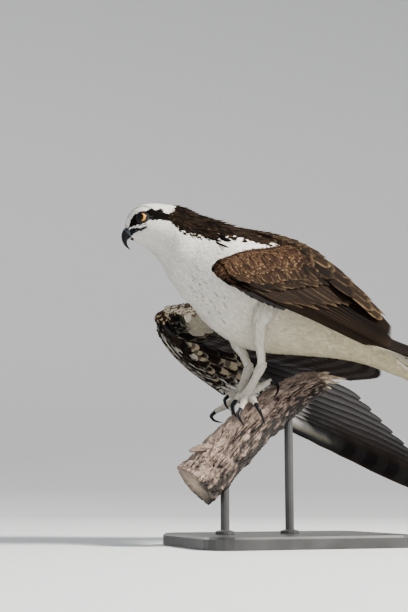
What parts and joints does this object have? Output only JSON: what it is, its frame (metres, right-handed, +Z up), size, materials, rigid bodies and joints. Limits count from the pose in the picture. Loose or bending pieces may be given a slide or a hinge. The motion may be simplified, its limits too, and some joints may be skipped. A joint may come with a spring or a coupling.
{
  "type": "osprey figure on a branch perch",
  "caption": "Life-size osprey gripping a short cut branch, drooped wings half open, raised on a flat display base by slim rods.",
  "frame": {"origin": "centre of the display base's underside, on the floor", "axes": "+X towards the tail and -X towards the bill, +Y towards the bird's right wing, +Z up"},
  "size_m": [0.593, 0.311, 0.4656],
  "materials": {
    "white_plumage": "matt white feathers",
    "brown_plumage": "dark brown feathers with a low sheen",
    "leg_skin": "pale scaly skin",
    "black_horn": "polished black horn",
    "eye_yellow": "wet yellow eye",
    "bark": "weathered flaking bark",
    "stand_black": "satin black paint"
  },
  "bodies": {
    "root": {"bill_lower": "black_horn", "bill_upper": "black_horn", "branch": "bark", "branch_snag": "bark", "claw_left_1": "black_horn", "claw_left_2": "black_horn", "claw_left_3": "black_horn", "claw_left_4": "black_horn", "claw_right_1": "black_horn", "claw_right_2": "black_horn", "claw_right_3": "black_horn", "claw_right_4": "black_horn", "eye_left": "eye_yellow", "eye_right": "eye_yellow", "head": "white_plumage", "leg_left_tarsus": "leg_skin", "leg_left_thigh": "white_plumage", "leg_right_tarsus": "leg_skin", "leg_right_thigh": "white_plumage", "neck": "white_plumage", "stand_base": "stand_black", "stand_rod_back": "stand_black", "stand_rod_front": "stand_black", "tail": "white_plumage", "toe_left_1": "leg_skin", "toe_left_2": "leg_skin", "toe_left_3": "leg_skin", "toe_left_4": "leg_skin", "toe_right_1": "leg_skin", "toe_right_2": "leg_skin", "toe_right_3": "leg_skin", "toe_right_4": "leg_skin", "torso": "white_plumage", "wing_left": "brown_plumage", "wing_right": "brown_plumage"}
  },
  "joints": []
}
